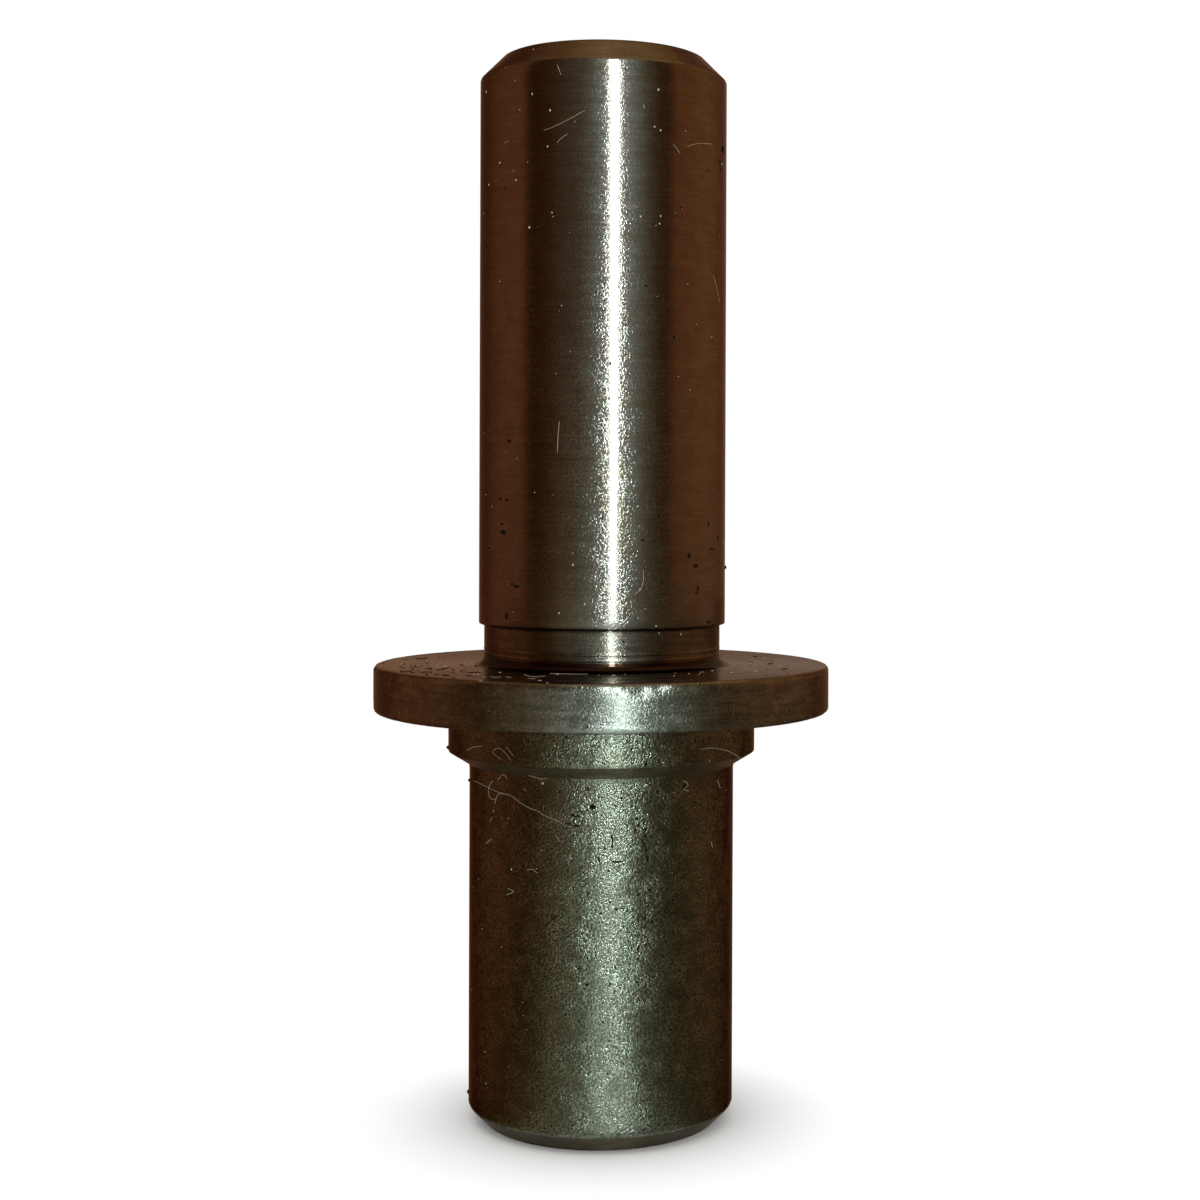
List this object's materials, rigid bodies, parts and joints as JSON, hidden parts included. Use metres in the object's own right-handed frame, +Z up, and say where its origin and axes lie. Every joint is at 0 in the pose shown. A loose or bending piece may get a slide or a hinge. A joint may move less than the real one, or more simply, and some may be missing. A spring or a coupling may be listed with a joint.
{
  "type": "turned flanged pin",
  "caption": "Turned steel pin with a ground journal above a thin round flange, and a plain collared shank below it.",
  "frame": {"origin": "centre of the lower end face of the shank, on the surface that the pin stands on", "axes": "+Z up along the turning axis, from the shank's end to the journal's end; X and Y are any two directions across it"},
  "size_m": [0.0258, 0.0258, 0.0601],
  "materials": {
    "oiled_steel": "turned and ground steel, darkened by oil, with a rough turned shank"
  },
  "bodies": {
    "root": {"flanged_pin": "oiled_steel"}
  },
  "joints": []
}
